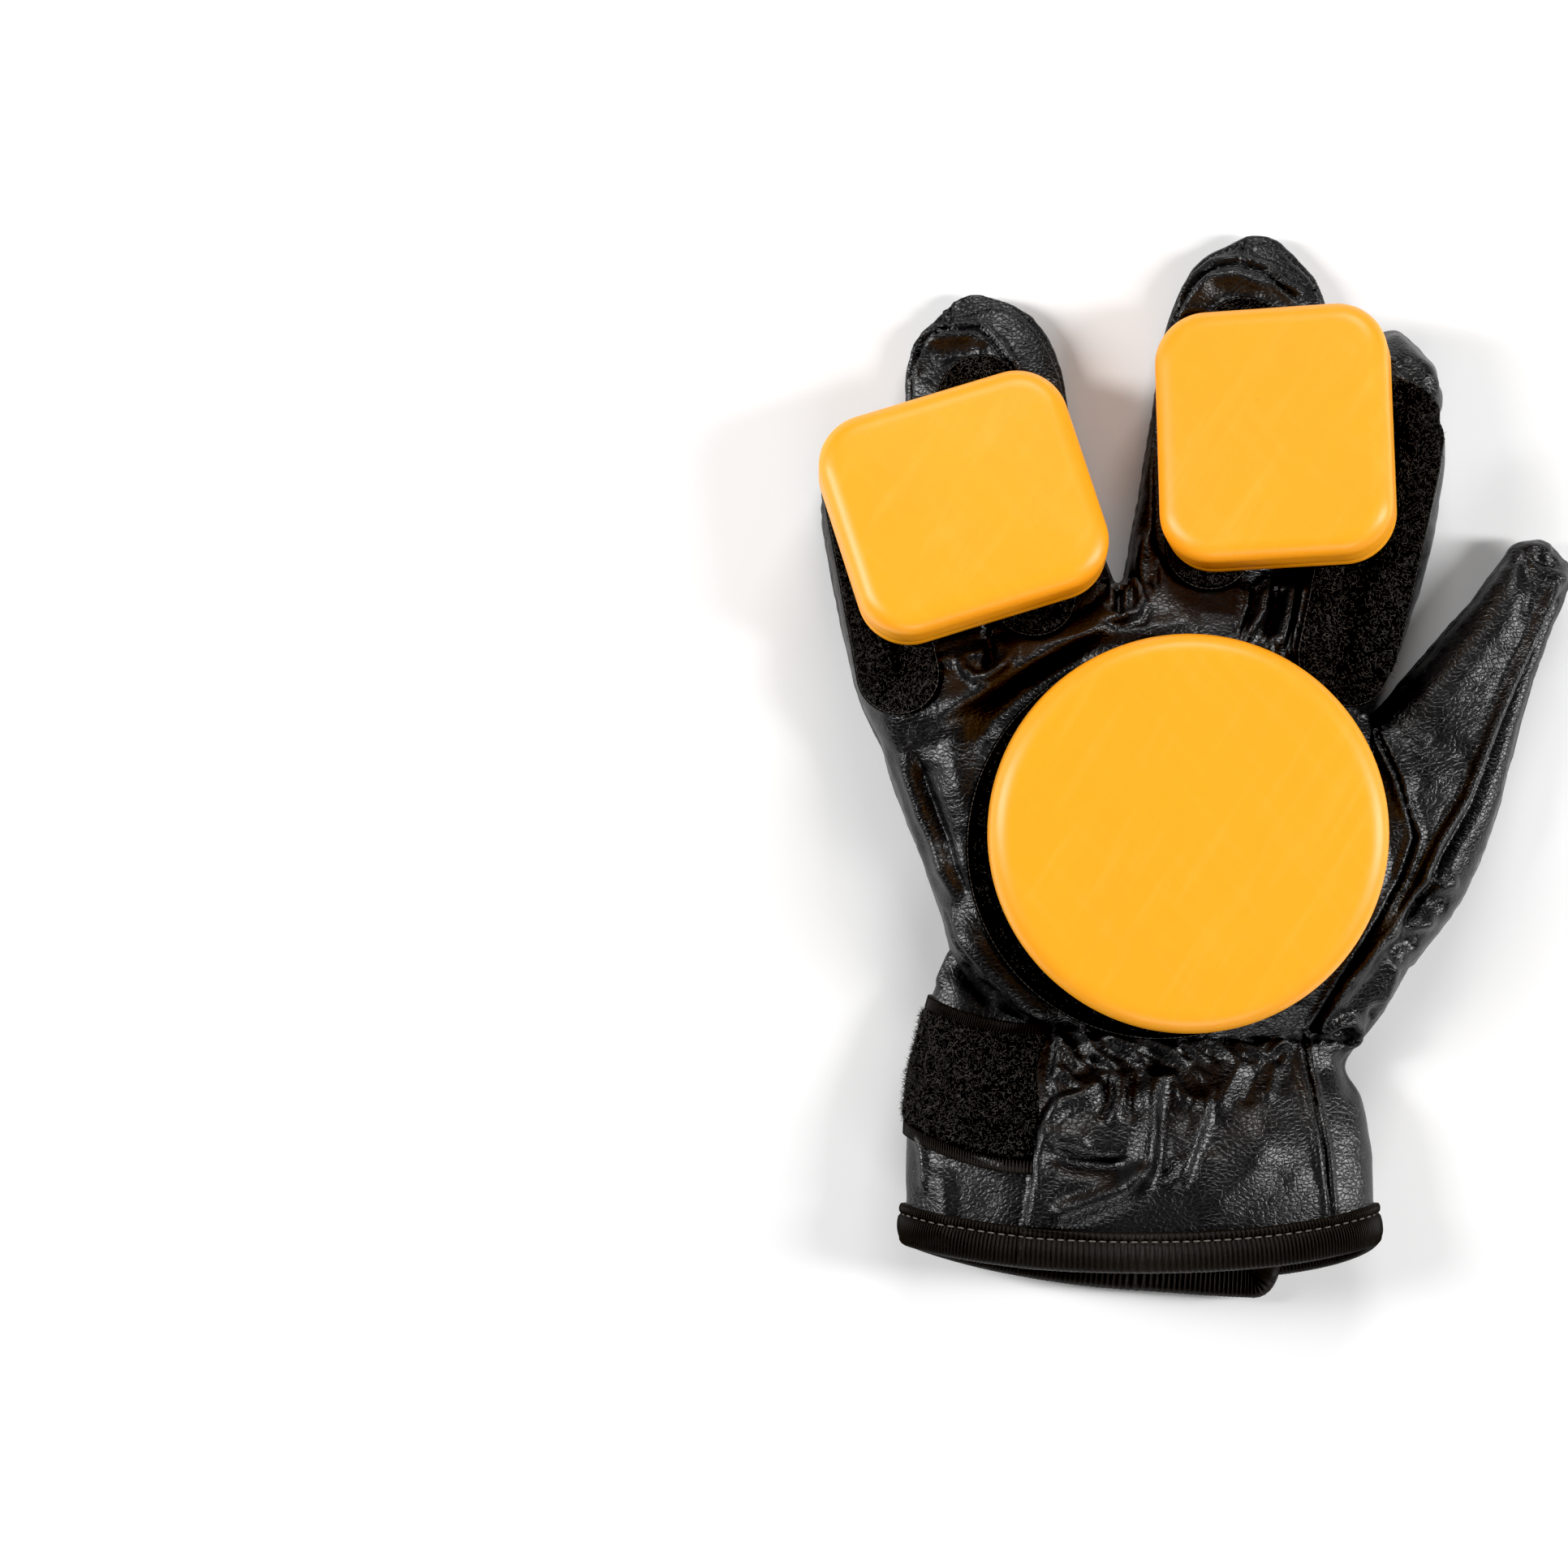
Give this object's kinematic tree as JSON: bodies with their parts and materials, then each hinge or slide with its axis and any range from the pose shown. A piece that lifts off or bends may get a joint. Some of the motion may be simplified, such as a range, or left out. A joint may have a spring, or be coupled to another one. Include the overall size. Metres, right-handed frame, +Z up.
{
  "type": "longboard slide glove, right hand",
  "caption": "Right-hand leather longboard slide glove lying palm up, with a round slide puck on the palm and two square slide pucks across the fingers.",
  "frame": {"origin": "on the surface that the glove lies on, straight below the centre of the palm puck", "axes": "+X to the thumb side of the glove, +Y to the fingertips, +Z up out of the palm"},
  "size_m": [0.1836, 0.2585, 0.0481],
  "materials": {
    "leather": "soft black glove leather, fine grain, semi-gloss on the folds",
    "loop": "black brushed loop pile, matt",
    "hook": "black hook tape, matt",
    "binding": "black ribbed grosgrain tape, matt",
    "puck": "yellow-orange moulded slide plastic, satin, faintly scuffed"
  },
  "bodies": {
    "root": {"palm_panel": "leather", "pinky_front": "leather", "ring_front": "leather", "middle_front": "leather", "index_front": "leather", "back_panel": "leather", "pinky_back": "leather", "ring_back": "leather", "middle_back": "leather", "index_back": "leather", "thumb": "leather", "cuff": "leather", "hem_binding": "binding", "wrist_loop_tape": "loop", "tab_hook_strip": "hook", "palm_patch": "loop", "pinky_patch": "loop", "ring_patch": "loop", "middle_patch": "loop", "index_patch": "loop", "palm_puck": "puck", "ring_puck": "puck", "index_puck": "puck", "palm_puck_hook": "hook", "ring_puck_hook": "hook", "index_puck_hook": "hook"}
  },
  "joints": []
}
